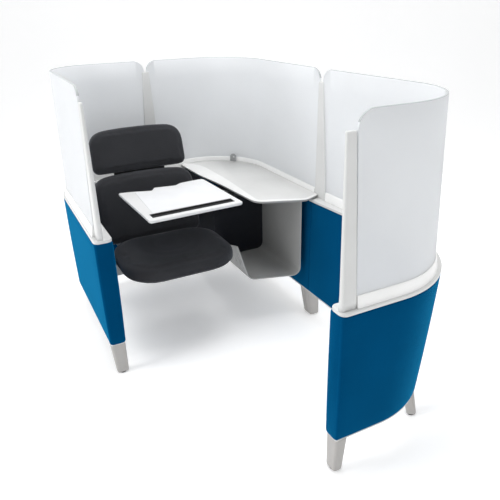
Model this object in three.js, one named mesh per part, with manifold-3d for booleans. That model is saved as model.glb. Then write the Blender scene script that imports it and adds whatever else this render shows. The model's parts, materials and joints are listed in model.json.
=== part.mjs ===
// Study carrel: a lounge seat and a side worksurface inside a curved privacy wall.
// Millimetres, +Z up, origin on the floor under the middle of the carrel. +X is the sitter's
// left, where the worksurface is, and the sitter faces -Y, towards the way in.

import * as THREE from 'three';
import { mergeVertices } from 'three/addons/utils/BufferGeometryUtils.js';
import Module from 'manifold-3d';

const wasm = await Module();
wasm.setup();

// ---------- driving dimensions ----------

const GAP = 0.3;                 // clearance between pieces that touch
const ARC_STEPS = 12;            // facets on a quarter turn of the wall
const ROUND_STEPS = 5;           // facets on a quarter turn of a small corner

// Heights above the floor.
const FOOT_Z = 160;              // underside of the fabric panels
const PANEL_TOP_Z = 649;
const RAIL_TOP_Z = 662;
const STRIP_TOP_Z = 704;         // top of the strip that holds the screens
const POST_TOP_Z = 1209;
const SCREEN_TOP_Z = 1266;

// Where the wall's faces stand, at the top of the panels and at their foot. The right side
// slants outwards from its joint (right) to the start of the front corner (rightFront).
const OUTER_TOP = { left: -582, right: 536, rightFront: 582, rear: 917, front: -944 };
const OUTER_FOOT = { left: -574, right: 524, rightFront: 524, rear: 909, front: -944 };
const INNER_TOP = { left: -504, right: 461, rightFront: 504, rear: 840, front: -872 };
const INNER_FOOT = { left: -504, right: 454, rightFront: 454, rear: 838, front: -876 };
const WALL_RADIUS = { rearLeft: 240, rearRight: 320, frontRight: 376 };
const CENTRING_Y = 13.5;         // moves the whole carrel so that the origin is in its middle

// The wall starts at its open end beside the seat and stops at the end of the front return.
const LEFT_END_Y = 0;
const FRONT_END_X = -40;
const REAR_JOINT_X = -40;        // joint between the left and the rear panel
const RIGHT_JOINT_Y = 0;         // joint between the rear and the front panel

// Middle of the screens, at their foot and at their top.
const SCREEN_FOOT = { left: -560, right: 514, rightFront: 537, rear: 895, front: -921 };
const SCREEN_HEAD = { left: -551, right: 499, rightFront: 517, rear: 887, front: -898 };
const SCREEN_RADIUS = { rearLeft: 235, rearRight: 318, frontRight: 334 };
const SCREEN_THICKNESS = 10;
const SCREEN_SLOT_DEPTH = 13;
// From a joint to the end of a screen, inside the joint's post.
const SCREEN_JOINT_CLEARANCE = { rear: 5, right: 11 };
const STRIP = { skirt: 16, waist: 12, waistZ: 682, lip: 9, inner: 12 };
const SCREEN_CORNER_RADIUS = SCREEN_TOP_Z - POST_TOP_Z;

// Posts: half lengths along the wall and thicknesses across it.
const POST_FOOT = { half: 45, thickness: 24 };
const POST_HEAD = { half: 21, thickness: 15 };
const END_POST_FOOT = { near: 3, far: 62 };
const END_POST_HEAD = { near: 10, far: 46 };

// Legs at the wall's ends, under its joints and under its corners. spread is how far a foot
// stands outwards of the leg's upper end.
const LEGS = {
  end: { across: 66, along: 47, spread: -8 },
  joint: { across: 66, along: 90, spread: 16 },
  corner: { across: 48, along: 47, spread: 31 },
};
const LEG_TAPER = 0.8;
const LEG_CORNER = 12;
const LEG_GROOVE = { width: 3, depth: 45 };
const GLIDE = { height: 7, radius: 17, edge: 2 };

const SEAT = { x: -179, width: 540, front: 5, rear: 450, bottom: 402, top: 478, corner: 150 };
const BACK = { x: -184, hingeY: 490, hingeZ: 430, lean: THREE.MathUtils.degToRad(16) };
const BACK_CUSHION = {
  low: -10, high: 348, front: 0, thickness: 80, width: 532, arch: 15, topCut: 88, lowCut: 45,
};
const HEADREST = {
  low: 350, high: 575, front: 12, thickness: 68, width: 492, arch: 12, topCut: 92, lowCut: 40,
};
const PAD_CROWN = 14;
const UPRIGHT = { x: 102, width: 36, front: 95.5, thickness: 15, low: -14, high: 500 };
// wallY is where the rear wall's face stands behind each strut.
const STRUT = {
  x: 145, width: 40, bottom: 336, top: 376, plate: { width: 56, thickness: 8, overhang: 25 },
  wallY: { left: 837.5, right: 830 },
};
const BEAM = {
  front: 340, rear: 400, bottom: 326, top: 386, right: 20, plate: { thickness: 8, overhang: 20 },
};
const PIVOT_BRACKET = { halfX: 18, halfY: 15, above: 14 };
const BACK_SHELL = { width: 470, height: 300, corner: 50, middle: 165 };
const HEADREST_SHELL = { width: 400, low: 385, high: 525, corner: 30, neck: 270, neckLow: 319 };
const SHELL_THICKNESS = 14.5;
const BOSS_RADIUS = 14;
const ROD_RADIUS = 6;

const WORKSURFACE = { bottom: 662.4, top: 680.4, rearX: 123, frontY: 12 };
// The worksurface's free edge: corners as [x, y, length rounded off], from the rear to the front.
const FREE_EDGE = [[131, 630, 50], [162, 430, 80], [191, 69, 50], [418, -22, 16]];
const CLIP = { width: 36, height: 44, thickness: 7, hole: 6, holeX: 4, behind: 20.5, degrees: 43 };
const CRADLE = {
  left: 155, right: 423, floor: 252, rear: 430, sheet: 5, bend: 42, flange: 60,
  lip: { front: 445, rear: 350, lean: 0.228 }, frontRise: { from: 110, to: 30 },
};
const CRADLE_SLOTS = { starts: [150, 198], width: 11, low: 325, high: 395 };
const BACK_PANEL = { thickness: 6, left: 129, right: 429, low: 248, rear: 837.5 };
const CRADLE_BOLT = {
  washer: { radius: 11, thickness: 3 }, head: { radius: 8, height: 4 }, inset: 32, spots: [90, 370],
};
const UNDER_WORKSURFACE = WORKSURFACE.bottom - 0.5;

const TABLET_PIVOT = new THREE.Vector2(135, 330);
const TABLET_CARRIER = new THREE.Vector2(-55, 245);
const TABLET = { bottom: 690, top: 705, offsetX: -72, turn: 2.5 };
const TABLET_MOUNT = { low: 646, plateX: [40, 140], plateY: [-50, 50], neck: 36, eye: 18 };
const TRAY_PLATE = { low: 683.3, width: 120, depth: 100 };
// The tray's outline: corners as [x, y, length rounded off], from the front right one.
const TRAY_CORNERS = [
  [225, -225, 16], [225, 216, 28], [96, 209, 14], [60, 184, 9], [-45, 207, 10], [-72, 167, 9],
  [-170, 207, 38], [-225, 217, 16], [-225, -225, 16],
];
const SLOT = {
  length: 398, width: 50, depth: 8, y: -170, groove: { width: 30, depth: 5.5, end: 8 },
};
const PIVOT_RADIUS = 8;
const PIVOT_PIN = { low: 602, high: WORKSURFACE.bottom, head: { radius: 13, height: 5 } };
const NUT_RADIUS = 13;
const ARM = { bottom: 618, top: 645, width: 30, eye: 20 };
const TILT = { axisZ: 671, pinRadius: 4, length: 82, base: 28, ears: 34, lugs: 27, lug: 8 };

const group = new THREE.Group();

// ---------- materials ----------

const finish = (color, roughness, metalness = 0) =>
  new THREE.MeshStandardMaterial({ color, roughness, metalness });

const blueFabric = finish(0x14679f, 0.95);
const charcoalFabric = finish(0x2d2e33, 0.95);
const whiteTrim = finish(0xe4e2dd, 0.45);
const frosted = finish(0xe6eaec, 0.6);
const legPaint = finish(0xcdcbc6, 0.5);
const deskWhite = finish(0xdcdcda, 0.5);
const greySheet = finish(0x97989a, 0.45, 0.3);
const darkMetal = finish(0x3b3c3f, 0.5, 0.6);
const steel = finish(0xb0b2b4, 0.35, 0.9);
const blackRubber = finish(0x151517, 0.8);
const blackPanel = finish(0x14161b, 0.9);

// ---------- solids from rings of points ----------

function signedVolume(points, triangles) {
  const cross = new THREE.Vector3();
  return triangles.reduce((sum, [a, b, c]) =>
    sum + points[a].dot(cross.crossVectors(points[b], points[c])), 0) / 6;
}

// A closed solid through rows of points. capOutline is the end caps' flat outline.
function loft(rows, capOutline) {
  const count = rows[0].length;
  const points = rows.flat();
  const triangles = [];
  for (let row = 0; row < rows.length - 1; row += 1) {
    for (let i = 0; i < count; i += 1) {
      const a = row * count + i;
      const b = row * count + (i + 1) % count;
      triangles.push([a, b, b + count], [a, b + count, a + count]);
    }
  }
  const last = (rows.length - 1) * count;
  const ringArea = THREE.ShapeUtils.area(capOutline);
  for (const cap of THREE.ShapeUtils.triangulateShape(capOutline, [])) {
    const capArea = THREE.ShapeUtils.area(cap.map((i) => capOutline[i]));
    const [i, j, k] = capArea * ringArea > 0 ? cap : [...cap].reverse();
    triangles.push([k, j, i], [i + last, j + last, k + last]);
  }
  const outward = signedVolume(points, triangles) > 0;
  const geometry = new THREE.BufferGeometry().setFromPoints(points);
  geometry.setIndex(triangles.flatMap((t) => (outward ? t : [...t].reverse())));
  geometry.computeVertexNormals();
  return geometry;
}

// A solid whose flat outline changes with height: layers are [z, outline] pairs.
function stack(layers) {
  const rows = layers.map(([z, outline]) => outline.map((p) => new THREE.Vector3(p.x, p.y, z)));
  return loft(rows, layers[0][1]);
}

// The outline of a rectangle with rounded corners.
function roundedOutline(width, depth, radius) {
  const corners = [
    [width / 2, -depth / 2, -90], [width / 2, depth / 2, 0],
    [-width / 2, depth / 2, 90], [-width / 2, -depth / 2, 180],
  ];
  return corners.flatMap(([x, y, start]) => {
    const centre = new THREE.Vector2(x - Math.sign(x) * radius, y - Math.sign(y) * radius);
    return Array.from({ length: ROUND_STEPS + 1 }, (_, i) => {
      const angle = THREE.MathUtils.degToRad(start + 90 * i / ROUND_STEPS);
      return new THREE.Vector2(Math.cos(angle), Math.sin(angle)).multiplyScalar(radius).add(centre);
    });
  });
}

// A polygon whose corners are [x, y, length rounded off along each side], 0 for a sharp one.
function softPolygon(corners) {
  return corners.flatMap(([x, y, cut], i) => {
    const corner = new THREE.Vector2(x, y);
    if (cut === 0) return [corner];
    const towards = ([nextX, nextY]) =>
      new THREE.Vector2(nextX, nextY).sub(corner).setLength(cut).add(corner);
    const before = towards(corners.at(i - 1));
    const after = towards(corners[(i + 1) % corners.length]);
    return new THREE.QuadraticBezierCurve(before, corner, after).getPoints(ROUND_STEPS);
  });
}

// Moves every point of an anticlockwise outline inwards, square to the line of its neighbours.
function shrunk(outline, distance) {
  return outline.map((point, i) => {
    const along = outline[(i + 1) % outline.length].clone().sub(outline.at(i - 1)).normalize();
    return new THREE.Vector2(point.x - along.y * distance, point.y + along.x * distance);
  });
}

const moved = (outline, x, y) => outline.map((p) => new THREE.Vector2(p.x + x, p.y + y));

// An upright disc, ring of the given radius.
function disc(radius, sides = 24) {
  return Array.from({ length: sides }, (_, i) => {
    const angle = 2 * Math.PI * i / sides;
    return new THREE.Vector2(radius * Math.cos(angle), radius * Math.sin(angle));
  });
}

const cylinderZ = (radius, low, high) => stack([[low, disc(radius)], [high, disc(radius)]]);

const cylinderX = (radius, length) =>
  cylinderZ(radius, -length / 2, length / 2).rotateY(Math.PI / 2);

function box(x, y, z) {
  return new THREE.BoxGeometry(x[1] - x[0], y[1] - y[0], z[1] - z[0])
    .translate((x[0] + x[1]) / 2, (y[0] + y[1]) / 2, (z[0] + z[1]) / 2);
}

// ---------- cutting and joining ----------

function toManifold(geometry) {
  const bare = geometry.clone();
  bare.deleteAttribute('normal');
  bare.deleteAttribute('uv');
  const merged = mergeVertices(bare, 1e-4);
  return new wasm.Manifold(new wasm.Mesh({
    numProp: 3,
    vertProperties: new Float32Array(merged.attributes.position.array),
    triVerts: new Uint32Array(merged.index.array),
  }));
}

function fromManifold(solid) {
  const mesh = solid.getMesh();
  const geometry = new THREE.BufferGeometry();
  geometry.setAttribute('position', new THREE.BufferAttribute(mesh.vertProperties, 3));
  geometry.setIndex(new THREE.BufferAttribute(mesh.triVerts, 1));
  geometry.computeVertexNormals();
  return geometry;
}

function combine(base, { add = [], cut = [] }) {
  let solid = toManifold(base);
  for (const piece of add) solid = solid.add(toManifold(piece));
  for (const piece of cut) solid = solid.subtract(toManifold(piece));
  return fromManifold(solid);
}

function place(name, geometry, material, parent = group) {
  const mesh = new THREE.Mesh(geometry, material);
  mesh.name = name;
  parent.add(mesh);
  return mesh;
}

// ---------- the wall's plan ----------

// The centres that the wall's corners turn about, for one set of faces and radii.
function cornerHubs(sides, { rearLeft, rearRight, frontRight }) {
  return {
    rearLeft: new THREE.Vector2(sides.left + rearLeft, sides.rear - rearLeft),
    rearRight: new THREE.Vector2(sides.right - rearRight, sides.rear - rearRight),
    frontRight: new THREE.Vector2(sides.rightFront - frontRight, sides.front + frontRight),
  };
}

const TOP_HUBS = cornerHubs(OUTER_TOP, WALL_RADIUS);
const FOOT_HUBS = cornerHubs(OUTER_FOOT, WALL_RADIUS);
const SCREEN_HUBS = cornerHubs(SCREEN_FOOT, SCREEN_RADIUS);

function cornerArc(hub, x, y, fromDegrees) {
  const radiusX = Math.abs(x - hub.x);
  const radiusY = Math.abs(y - hub.y);
  return Array.from({ length: ARC_STEPS + 1 }, (_, i) => {
    const angle = THREE.MathUtils.degToRad(fromDegrees - 90 * i / ARC_STEPS);
    return new THREE.Vector2(hub.x + radiusX * Math.cos(angle), hub.y + radiusY * Math.sin(angle));
  });
}

// One line of the wall's plan, walked from the open end round to the front return. On the right
// side it slants, and slant is how far it moves outwards for each millimetre towards the front.
const RUNS = {
  left: (sides, hubs, start, end) => [
    new THREE.Vector2(sides.left, start),
    ...cornerArc(hubs.rearLeft, sides.left, sides.rear, 180),
    new THREE.Vector2(end, sides.rear),
  ],
  rear: (sides, hubs, start, end) => [
    new THREE.Vector2(start, sides.rear),
    ...cornerArc(hubs.rearRight, sides.right, sides.rear, 90),
    new THREE.Vector2(sides.right, end),
  ],
  front: (sides, hubs, start, end) => {
    const slant = (sides.rightFront - sides.right) / (RIGHT_JOINT_Y - hubs.frontRight.y);
    return [
      new THREE.Vector2(sides.right + slant * (RIGHT_JOINT_Y - start), start),
      ...cornerArc(hubs.frontRight, sides.rightFront, sides.front, 0),
      new THREE.Vector2(end, sides.front),
    ];
  },
};

// Where each run starts and ends, with a clearance off each joint and a clearance off the open ends.
function runEnds(run, jointClearance, endClearance) {
  return {
    left: [LEFT_END_Y + endClearance, REAR_JOINT_X - jointClearance],
    rear: [REAR_JOINT_X + jointClearance, RIGHT_JOINT_Y + jointClearance],
    front: [RIGHT_JOINT_Y - jointClearance, FRONT_END_X + endClearance],
  }[run];
}

// Moves a line of the plan outwards, away from the sitter.
function outwards(sides, distance) {
  return {
    left: sides.left - distance,
    right: sides.right + distance,
    rightFront: sides.rightFront + distance,
    rear: sides.rear + distance,
    front: sides.front - distance,
  };
}

// A solid swept along a run. Each edge of its section is { sides, z, hubs, ends }.
function sweep(run, section) {
  const lines = section.map(({ sides, z, hubs = TOP_HUBS, ends }) =>
    RUNS[run](sides, hubs, ...ends).map((p) => new THREE.Vector3(p.x, p.y, z)));
  const rows = lines[0].map((_, station) => lines.map((line) => line[station]));
  const side = { left: 'left', rear: 'rear', front: 'right' }[run];
  const outline = section.map(({ sides, z }) => new THREE.Vector2(sides[side], z));
  return loft(rows, outline);
}

// ---------- wall pieces ----------

function fabricPanel(run) {
  const ends = runEnds(run, 1, 0);
  const edge = 6;
  const foot = (sides, inset, z) => ({ sides: outwards(sides, inset), z, hubs: FOOT_HUBS, ends });
  const top = (sides, inset, z) => ({ sides: outwards(sides, inset), z, ends });
  return sweep(run, [
    foot(OUTER_FOOT, -edge, FOOT_Z), foot(OUTER_FOOT, 0, FOOT_Z + edge),
    top(OUTER_TOP, 0, PANEL_TOP_Z - edge), top(OUTER_TOP, -edge, PANEL_TOP_Z),
    top(INNER_TOP, edge, PANEL_TOP_Z), top(INNER_TOP, 0, PANEL_TOP_Z - edge),
    foot(INNER_FOOT, 0, FOOT_Z + edge), foot(INNER_FOOT, edge, FOOT_Z),
  ]);
}

function capRail(run) {
  const ends = runEnds(run, 1, 0);
  const low = PANEL_TOP_Z + GAP;
  const edge = 3;
  return sweep(run, [
    { sides: OUTER_TOP, z: low, ends }, { sides: OUTER_TOP, z: RAIL_TOP_Z - edge, ends },
    { sides: outwards(OUTER_TOP, -edge), z: RAIL_TOP_Z, ends },
    { sides: outwards(INNER_TOP, edge), z: RAIL_TOP_Z, ends },
    { sides: INNER_TOP, z: RAIL_TOP_Z - edge, ends }, { sides: INNER_TOP, z: low, ends },
  ]);
}

// The strip has a channel along its top for the screen, and a skirt that spreads outwards.
function screenStrip(run) {
  const ends = runEnds(run, POST_FOOT.half + 0.5, END_POST_FOOT.far + 0.5);
  const slot = SCREEN_THICKNESS / 2 + GAP;
  const slotFloor = STRIP_TOP_Z - SCREEN_SLOT_DEPTH - GAP;
  const at = (distance, z) => ({ sides: outwards(SCREEN_FOOT, distance), z, hubs: SCREEN_HUBS, ends });
  const { skirt, waist, waistZ, lip, inner } = STRIP;
  return sweep(run, [
    at(skirt, RAIL_TOP_Z + GAP), at(waist, waistZ), at(lip, STRIP_TOP_Z - 2), at(slot, STRIP_TOP_Z),
    at(slot, slotFloor), at(-slot, slotFloor), at(-slot, STRIP_TOP_Z),
    at(-lip, STRIP_TOP_Z - 2), at(-inner, RAIL_TOP_Z + GAP),
  ]);
}

function screenEnds(run, endClearance, margin) {
  const rear = SCREEN_JOINT_CLEARANCE.rear - margin;
  const right = SCREEN_JOINT_CLEARANCE.right - margin;
  return {
    left: [LEFT_END_Y + endClearance, REAR_JOINT_X - rear],
    rear: [REAR_JOINT_X + rear, RIGHT_JOINT_Y + right],
    front: [RIGHT_JOINT_Y - right, FRONT_END_X + endClearance],
  }[run];
}

// A screen stands in its strip and in the slots of the posts at the joints, leans a little inwards,
// and has round upper corners. With a margin it is the room that it needs.
function screen(run, margin = 0) {
  const half = SCREEN_THICKNESS / 2 + margin;
  const footEnds = screenEnds(run, END_POST_FOOT.far + 0.5, margin);
  const headEnds = screenEnds(run, END_POST_HEAD.far + 0.5, margin);
  const line = (sides, ends, distance, z) =>
    RUNS[run](outwards(sides, distance), SCREEN_HUBS, ...ends).map((p) => new THREE.Vector3(p.x, p.y, z));
  const foot = (distance, z) => line(SCREEN_FOOT, footEnds, distance, z);
  const head = (distance) => line(SCREEN_HEAD, headEnds, distance, SCREEN_TOP_Z);
  const low = STRIP_TOP_Z - SCREEN_SLOT_DEPTH - margin;
  const columns = [foot(-half, low), foot(half, low), foot(half, STRIP_TOP_Z), head(half),
    head(-half), foot(-half, STRIP_TOP_Z)];
  const rows = columns[0].map((_, station) => columns.map((column) => column[station]));
  return loft(roundScreenEnds(rows), [
    new THREE.Vector2(-half, low), new THREE.Vector2(half, low),
    new THREE.Vector2(half, STRIP_TOP_Z), new THREE.Vector2(half, SCREEN_TOP_Z),
    new THREE.Vector2(-half, SCREEN_TOP_Z), new THREE.Vector2(-half, STRIP_TOP_Z),
  ]);
}

// Adds rows near both ends of a screen and lowers their top edge along a quarter circle.
function roundScreenEnds(rows) {
  const turn = (end, next) => Array.from({ length: ROUND_STEPS + 1 }, (_, i) => {
    const angle = Math.PI / 2 * i / ROUND_STEPS;
    const along = SCREEN_CORNER_RADIUS * (1 - Math.cos(angle));
    const drop = SCREEN_CORNER_RADIUS * (1 - Math.sin(angle));
    return end.map((point, column) => {
      const step = next[column].clone().sub(point).normalize().multiplyScalar(along);
      const moving = point.clone().add(step);
      return point.z === SCREEN_TOP_Z ? moving.setZ(point.z - drop) : moving;
    });
  });
  const start = turn(rows[0], rows[1]);
  const finishRows = turn(rows.at(-1), rows.at(-2)).reverse();
  return [...start, ...rows.slice(1, -1), ...finishRows];
}

// A post as a tall blade: foot and head are { x, y, lengthX, lengthY } rectangles.
function post(foot, head) {
  const ring = ({ x, y, lengthX, lengthY }, shrink, z) => {
    const radius = 0.4 * (Math.min(lengthX, lengthY) - shrink);
    const outline = roundedOutline(lengthX - shrink, lengthY - shrink, radius);
    return [z, moved(outline, x, y)];
  };
  return stack([
    ring(foot, 0, RAIL_TOP_Z + GAP), ring(foot, 0, STRIP_TOP_Z),
    ring(head, 0, POST_TOP_Z - 4), ring(head, 5, POST_TOP_Z),
  ]);
}

// A post at a joint has a slot in each side for the end of a screen.
function jointPost(foot, head, runs) {
  return combine(post(foot, head), { cut: runs.map((run) => screen(run, GAP)) });
}

const spanCentre = ({ near, far }) => (near + far) / 2;
const spanLength = ({ near, far }) => far - near;

function buildPosts() {
  const alongY = (x, y, length, thickness) => ({ x, y, lengthX: thickness, lengthY: length });
  const alongX = (x, y, length, thickness) => ({ x, y, lengthX: length, lengthY: thickness });
  place('post_left_end', post(
    alongY(SCREEN_FOOT.left + 8, spanCentre(END_POST_FOOT), spanLength(END_POST_FOOT),
      POST_FOOT.thickness),
    alongY(SCREEN_HEAD.left, spanCentre(END_POST_HEAD), spanLength(END_POST_HEAD),
      POST_HEAD.thickness),
  ), whiteTrim);
  place('post_rear', jointPost(
    alongX(REAR_JOINT_X, SCREEN_FOOT.rear, 2 * POST_FOOT.half, POST_FOOT.thickness),
    alongX(REAR_JOINT_X, SCREEN_HEAD.rear, 2 * POST_HEAD.half, POST_HEAD.thickness),
    ['left', 'rear'],
  ), whiteTrim);
  place('post_right', jointPost(
    alongY(SCREEN_FOOT.right, RIGHT_JOINT_Y, 2 * POST_FOOT.half, POST_FOOT.thickness),
    alongY(SCREEN_HEAD.right, RIGHT_JOINT_Y, 2 * POST_HEAD.half, POST_HEAD.thickness),
    ['rear', 'front'],
  ), whiteTrim);
  place('post_front_end', post(
    alongX(FRONT_END_X + spanCentre(END_POST_FOOT), SCREEN_FOOT.front, spanLength(END_POST_FOOT),
      POST_FOOT.thickness),
    alongX(FRONT_END_X + spanCentre(END_POST_HEAD), SCREEN_HEAD.front, spanLength(END_POST_HEAD),
      POST_HEAD.thickness),
  ), whiteTrim);
}

// A tapered leg in its own frame: x points outwards, square to the wall, and y along it.
function leg({ across, along, spread }) {
  const outline = (scale, shift) =>
    moved(roundedOutline(across * scale, along * scale, LEG_CORNER * scale), shift, 0);
  const low = GLIDE.height + GAP;
  return stack([
    [low, outline(LEG_TAPER * 0.96, spread)], [low + 6, outline(LEG_TAPER, spread)],
    [FOOT_Z - GAP, outline(1, 0)],
  ]);
}

// Under a joint between two panels the leg is split by a groove on its inner side.
function jointLeg(shape) {
  const { width, depth } = LEG_GROOVE;
  const groove = box([-shape.across, depth - shape.across / 2], [-width / 2, width / 2],
    [-1, FOOT_Z + 1]);
  return combine(leg(shape), { cut: [groove] });
}

function glide() {
  const { height, radius, edge } = GLIDE;
  return stack([[0, disc(radius - edge)], [edge, disc(radius)], [height, disc(radius)]]);
}

function buildLegs() {
  const onCorner = (corner, degrees) => {
    const angle = THREE.MathUtils.degToRad(degrees);
    const radius = WALL_RADIUS[corner] - 35;
    const hub = FOOT_HUBS[corner];
    return ['corner', hub.x + radius * Math.cos(angle), hub.y + radius * Math.sin(angle), degrees];
  };
  const spots = {
    left_end: ['end', -539, 27, 180],
    rear_left: onCorner('rearLeft', 135),
    rear: ['joint', REAR_JOINT_X, 873.5, 90],
    rear_right: onCorner('rearRight', 45),
    right: ['joint', 491, RIGHT_JOINT_Y + 48, 0],
    front_right: onCorner('frontRight', -42),
    front_end: ['end', -12, -910, -90],
  };
  for (const [name, [kind, x, y, degrees]] of Object.entries(spots)) {
    const shape = LEGS[kind];
    const spot = new THREE.Group();
    spot.position.set(x, y, 0);
    spot.rotation.z = THREE.MathUtils.degToRad(degrees);
    group.add(spot);
    place(`leg_${name}`, kind === 'joint' ? jointLeg(shape) : leg(shape), legPaint, spot);
    place(`glide_${name}`, glide().translate(shape.spread, 0, 0), blackRubber, spot);
  }
}

function buildWall() {
  for (const run of ['left', 'rear', 'front']) {
    place(`panel_${run}`, fabricPanel(run), blueFabric);
    place(`cap_rail_${run}`, capRail(run), whiteTrim);
    place(`screen_strip_${run}`, screenStrip(run), whiteTrim);
    place(`screen_${run}`, screen(run), frosted);
  }
  buildPosts();
  buildLegs();
}

// ---------- seat ----------

// A crowned pad: outline(inset) gives its plan, and its edges round off over its height.
function pad(outline, bottom, top, crown) {
  const height = top - bottom;
  return stack([
    [bottom, outline(crown)], [bottom + 0.22 * height, outline(crown * 0.2)],
    [bottom + 0.5 * height, outline(0)], [bottom + 0.8 * height, outline(crown * 0.3)],
    [top, outline(crown * 1.4)],
  ]);
}

function seatOutline(inset) {
  const depth = SEAT.rear - SEAT.front - 2 * inset;
  const outline = roundedOutline(SEAT.width - 2 * inset, depth, SEAT.corner - inset);
  return moved(outline, SEAT.x, (SEAT.front + SEAT.rear) / 2);
}

// Strut from the cross beam back to the rear wall, with a foot plate against the wall.
function strut(x, wallY) {
  const { width, bottom, top, plate } = STRUT;
  const bar = box([x - width / 2, x + width / 2], [BEAM.rear + GAP, wallY], [bottom, top]);
  const foot = box([x - plate.width / 2, x + plate.width / 2], [wallY - plate.thickness, wallY],
    [bottom - plate.overhang, top + plate.overhang]);
  return combine(bar, { add: [foot] });
}

function seatBeam() {
  const { front, rear, bottom, top, right, plate } = BEAM;
  const wallX = INNER_TOP.left + GAP;
  const bar = box([wallX + 1, right], [front, rear], [bottom, top]);
  const foot = box([wallX, wallX + plate.thickness], [front - plate.overhang, rear + plate.overhang],
    [bottom - plate.overhang, top + plate.overhang / 2]);
  return combine(bar, { add: [foot] });
}

function pivotBracket(x, rodY, rodZ) {
  const { halfX, halfY, above } = PIVOT_BRACKET;
  const block = box([x - halfX, x + halfX], [rodY - halfY, rodY + halfY],
    [STRUT.top + GAP, rodZ + above]);
  return combine(block, { cut: [cylinderX(ROD_RADIUS + GAP, 60).translate(x, rodY, rodZ)] });
}

function upright(x) {
  const middle = UPRIGHT.front + UPRIGHT.thickness / 2;
  const bar = box([x - UPRIGHT.width / 2, x + UPRIGHT.width / 2],
    [UPRIGHT.front, UPRIGHT.front + UPRIGHT.thickness], [UPRIGHT.low, UPRIGHT.high]);
  const boss = cylinderX(BOSS_RADIUS, UPRIGHT.width).translate(x, middle, UPRIGHT.low);
  const bore = cylinderX(ROD_RADIUS + GAP, 2 * UPRIGHT.width).translate(x, middle, UPRIGHT.low);
  return combine(bar, { add: [boss], cut: [bore] });
}

// A pad that stands in the back's own frame: x across, y towards the rear, z up the back.
// Its top edge is arched: highest in the middle.
function standingPad({ low, high, front, thickness, width, arch, topCut, lowCut }) {
  const shape = softPolygon([
    [-width / 2, low, lowCut], [width / 2, low, lowCut], [width / 2, high - arch, topCut],
    [width / 6, high, width / 7], [-width / 6, high, width / 7], [-width / 2, high - arch, topCut],
  ]);
  return pad((inset) => shrunk(shape, inset), 0, thickness, PAD_CROWN)
    .rotateX(Math.PI / 2)
    .translate(0, front + thickness, 0);
}

function buildSeat() {
  place('seat_cushion', pad(seatOutline, SEAT.bottom, SEAT.top, 16), charcoalFabric);
  place('seat_pan', stack([
    [BEAM.top + GAP, seatOutline(60)], [BEAM.top + 8, seatOutline(34)],
    [SEAT.bottom - GAP, seatOutline(30)],
  ]), darkMetal);
  place('seat_beam', seatBeam(), greySheet);
  const back = new THREE.Group();
  back.position.set(BACK.x, BACK.hingeY, BACK.hingeZ);
  back.rotation.x = -BACK.lean;
  group.add(back);
  const rod = new THREE.Vector3(0, UPRIGHT.front + UPRIGHT.thickness / 2, UPRIGHT.low)
    .applyEuler(back.rotation).add(back.position);
  for (const [side, sign] of [['left', 1], ['right', -1]]) {
    place(`seat_strut_${side}`, strut(BACK.x + sign * STRUT.x, STRUT.wallY[side]), greySheet);
    place(`pivot_bracket_${side}`, pivotBracket(BACK.x + sign * STRUT.x, rod.y, rod.z), darkMetal);
    place(`back_upright_${side}`, upright(sign * UPRIGHT.x), darkMetal, back);
  }
  place('back_pivot_rod', cylinderX(ROD_RADIUS, 2 * (STRUT.x + 22)).translate(...rod.toArray()), steel);
  place('back_cushion', standingPad(BACK_CUSHION), charcoalFabric, back);
  place('back_shell', backShell(), darkMetal, back);
  place('headrest_cushion', standingPad(HEADREST), charcoalFabric, back);
  place('headrest_shell', headrestShell(), darkMetal, back);
}

// A hard plate behind a pad of the back.
function shell(outline, padRear) {
  const front = padRear + 0.5;
  return stack([[-front - SHELL_THICKNESS, outline], [-front, outline]]).rotateX(Math.PI / 2);
}

function backShell() {
  const { width, height, corner, middle } = BACK_SHELL;
  return shell(moved(roundedOutline(width, height, corner), 0, middle), BACK_CUSHION.thickness);
}

// The headrest's plate runs down the middle to the plate below it.
function headrestShell() {
  const { width, low, high, corner, neck, neckLow } = HEADREST_SHELL;
  const outline = softPolygon([
    [-neck / 2, neckLow, 10], [neck / 2, neckLow, 10], [neck / 2, low, 10], [width / 2, low, corner],
    [width / 2, high, corner], [-width / 2, high, corner], [-width / 2, low, corner],
    [-neck / 2, low, 10],
  ]);
  return shell(outline, HEADREST.front + HEADREST.thickness);
}

// ---------- worksurface and bag cradle ----------

// The free edge of the worksurface moves in by inset; its edges along the wall stay where they are.
function worksurfaceOutline(inset) {
  const wallX = SCREEN_FOOT.right - STRIP.inner - 2 * GAP;
  const wallY = SCREEN_FOOT.rear - STRIP.inner - 2 * GAP;
  const { rearX, frontY } = WORKSURFACE;
  const corners = [[wallX, frontY, 0], [wallX, wallY, 0], [rearX, wallY, 0], ...FREE_EDGE];
  return [
    new THREE.Vector2(wallX, frontY + inset),
    ...cornerArc(SCREEN_HUBS.rearRight, wallX, wallY, 90).reverse(),
    new THREE.Vector2(rearX + inset, wallY),
    ...shrunk(softPolygon(corners), inset).slice(3),
  ];
}

function worksurface() {
  const { bottom, top } = WORKSURFACE;
  return stack([
    [bottom, worksurfaceOutline(14)], [bottom + 5, worksurfaceOutline(5)],
    [top - 3, worksurfaceOutline(0)], [top, worksurfaceOutline(2)],
  ]);
}

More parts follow.
